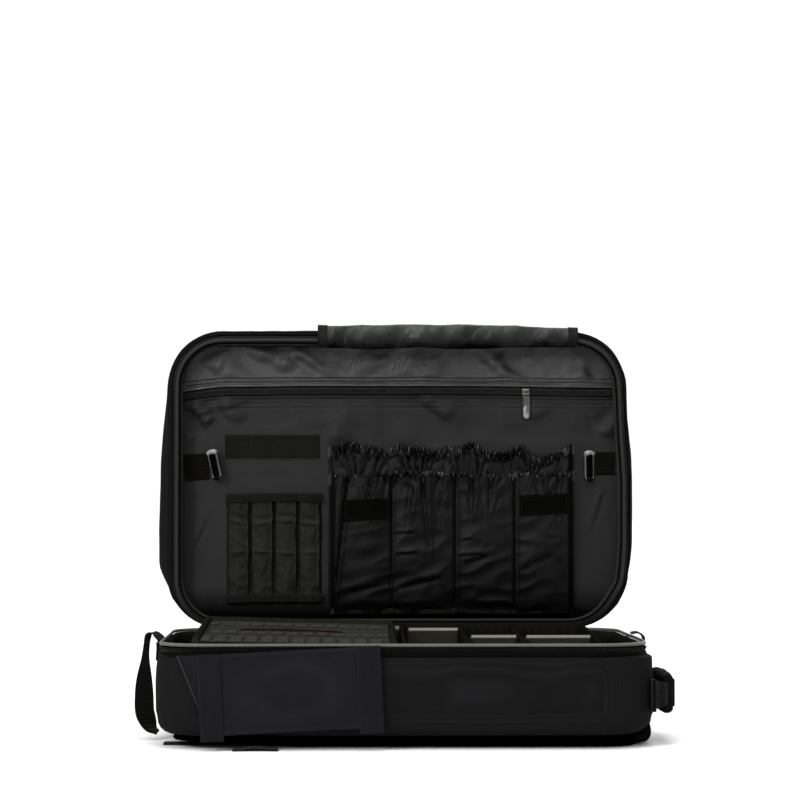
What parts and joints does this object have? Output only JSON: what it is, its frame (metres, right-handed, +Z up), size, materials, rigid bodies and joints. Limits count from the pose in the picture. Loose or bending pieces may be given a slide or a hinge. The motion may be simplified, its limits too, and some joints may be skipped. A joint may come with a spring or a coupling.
{
  "type": "soft clamshell organiser bag",
  "caption": "Soft black clamshell flight and tool bag, open: padded base with lift-out boxes, pallet and dividers, upright lid with zip, pen and gathered pockets.",
  "frame": {"origin": "middle of the bag's outline on the floor plane, lid open", "axes": "+X to the right along the hinge, +Y from the front edge towards the hinge and lid, +Z up"},
  "size_m": [0.5522, 0.3815, 0.4365],
  "materials": {
    "body_fabric": "matte black woven polyester, lightly padded",
    "lining_fabric": "bluish charcoal ripstop lining",
    "pocket_fabric": "soft satin-like black fabric, gathered",
    "coated_nylon": "dark grey-green coated nylon, slightly glossy and crinkled",
    "webbing": "black ribbed webbing",
    "piping": "smooth dark piping with a soft highlight",
    "zipper": "black zipper tape with coil teeth",
    "padding": "grey-olive padded fabric",
    "mesh_pad": "black padded mesh",
    "elastic": "woven elastic",
    "hook_loop": "fuzzy hook-and-loop tape",
    "board": "stiffener sheet inside the fabric",
    "metal": "dark nickel-plated metal",
    "plastic": "moulded black plastic"
  },
  "bodies": {
    "base": {"base_outer_shell": "body_fabric", "base_bottom_board": "board", "base_liner": "padding", "base_rim_piping": "piping", "base_zipper_tape": "zipper", "hinge_cord": "body_fabric", "back_panel_pad": "mesh_pad", "shoulder_strap_pads": "mesh_pad", "shoulder_webbings": "webbing", "ladder_locks": "plastic", "side_strap": "webbing", "side_strap_anchor": "webbing", "side_loop_tab": "webbing", "webbing_tail": "webbing", "strap_end_tab": "body_fabric", "front_sleeve_panel": "body_fabric", "sleeve_webbings": "webbing", "sleeve_wedge": "body_fabric", "handle_patches": "webbing"},
    "handle": {"handle_webbing": "webbing", "handle_grip": "body_fabric"},
    "lid": {"lid_outer_shell": "body_fabric", "lid_padding": "padding", "lid_stiffener_board": "board", "lid_liner": "lining_fabric", "lid_rim_piping": "piping", "lid_zipper_tape": "zipper", "lining_upper_band": "lining_fabric", "lining_lower_panel": "lining_fabric", "pocket_zipper_tape": "zipper", "elastic_loop_strip": "elastic", "pen_pocket": "pocket_fabric", "pen_pocket_bindings": "webbing", "gathered_pocket_front": "pocket_fabric", "gathered_pocket_rear": "pocket_fabric", "front_pocket_elastic": "elastic", "rear_pocket_elastic": "elastic", "hook_patches": "hook_loop", "ring_tab_left": "webbing", "ring_tab_right": "webbing", "flap_hem": "coated_nylon"},
    "flap": {"lid_flap": "coated_nylon"},
    "ring_left": {"strap_ring_left": "metal"},
    "ring_right": {"strap_ring_right": "metal"},
    "pocket_slider": {"pocket_slider": "metal"},
    "pocket_pull": {"pocket_pull": "metal"},
    "main_slider_left": {"main_slider_left": "metal"},
    "main_slider_right": {"main_slider_right": "metal"},
    "main_pull_left": {"main_pull_left": "metal"},
    "main_pull_right": {"main_pull_right": "metal"},
    "left_box": {"left_box": "padding"},
    "pallet": {"pallet_board": "padding", "pallet_elastics": "elastic"},
    "right_box": {"right_box": "padding"},
    "long_divider_left": {"long_divider_left": "padding"},
    "long_divider_right": {"long_divider_right": "padding"},
    "cross_divider_left": {"cross_divider_left": "padding"},
    "cross_divider_middle": {"cross_divider_middle": "padding"},
    "cross_divider_right": {"cross_divider_right": "padding"}
  },
  "joints": [
    {"name": "lid_hinge", "type": "hinge", "parent": "base", "child": "lid", "pos_m": [-0.005, 0.1345, 0.1056], "axis": [-1, 0, 0], "range_deg": [-89, 90]},
    {"name": "flap_lift", "type": "hinge", "parent": "lid", "child": "flap", "pos_m": [0.0515, 0.1807, 0.4321], "axis": [-1, 0, 0], "range_deg": [0, 170]},
    {"name": "pocket_zip", "type": "slide", "parent": "lid", "child": "pocket_slider", "axis": [1, 0, 0], "range_m": [-0.366, 0.08]},
    {"name": "pocket_pull_swing", "type": "hinge", "parent": "pocket_slider", "child": "pocket_pull", "pos_m": [0.139, 0.1643, 0.3576], "axis": [-1, 0, 0], "range_deg": [0, 120]},
    {"name": "ring_left_turn", "type": "hinge", "parent": "lid", "child": "ring_left", "pos_m": [-0.2095, 0.1633, 0.281], "axis": [-0.2079, 0, 0.9781], "range_deg": [-60, 35]},
    {"name": "ring_right_turn", "type": "hinge", "parent": "lid", "child": "ring_right", "pos_m": [0.213, 0.1633, 0.2815], "axis": [0, 0, 1], "range_deg": [-35, 60]},
    {"name": "main_zip_left", "type": "slide", "parent": "base", "child": "main_slider_left", "axis": [0, 1, 0], "range_m": [-0.195, 0]},
    {"name": "main_zip_right", "type": "slide", "parent": "base", "child": "main_slider_right", "axis": [0, 1, 0], "range_m": [-0.195, 0]},
    {"name": "main_pull_left_swing", "type": "hinge", "parent": "main_slider_left", "child": "main_pull_left", "pos_m": [-0.2509, 0.0724, 0.0964], "axis": [0, 0, -1], "range_deg": [0, 150]},
    {"name": "main_pull_right_swing", "type": "hinge", "parent": "main_slider_right", "child": "main_pull_right", "pos_m": [0.2409, 0.0724, 0.0964], "axis": [0, 0, 1], "range_deg": [0, 150]},
    {"name": "handle_swing", "type": "hinge", "parent": "base", "child": "handle", "pos_m": [0.2486, -0.07, 0.052], "axis": [0, 1, 0], "range_deg": [-20, 20]},
    {"name": "left_box_lift", "type": "slide", "parent": "base", "child": "left_box", "axis": [0, 0, 1], "range_m": [0, 0.15]},
    {"name": "pallet_lift", "type": "slide", "parent": "left_box", "child": "pallet", "axis": [0, 0, 1], "range_m": [0, 0.12]},
    {"name": "right_box_lift", "type": "slide", "parent": "base", "child": "right_box", "axis": [0, 0, 1], "range_m": [0, 0.15]},
    {"name": "long_divider_left_lift", "type": "slide", "parent": "right_box", "child": "long_divider_left", "axis": [0, 0, 1], "range_m": [0, 0.085]},
    {"name": "long_divider_right_lift", "type": "slide", "parent": "right_box", "child": "long_divider_right", "axis": [0, 0, 1], "range_m": [0, 0.085]},
    {"name": "cross_divider_left_lift", "type": "slide", "parent": "right_box", "child": "cross_divider_left", "axis": [0, 0, 1], "range_m": [0, 0.085]},
    {"name": "cross_divider_middle_lift", "type": "slide", "parent": "right_box", "child": "cross_divider_middle", "axis": [0, 0, 1], "range_m": [0, 0.085]},
    {"name": "cross_divider_right_lift", "type": "slide", "parent": "right_box", "child": "cross_divider_right", "axis": [0, 0, 1], "range_m": [0, 0.085]}
  ]
}
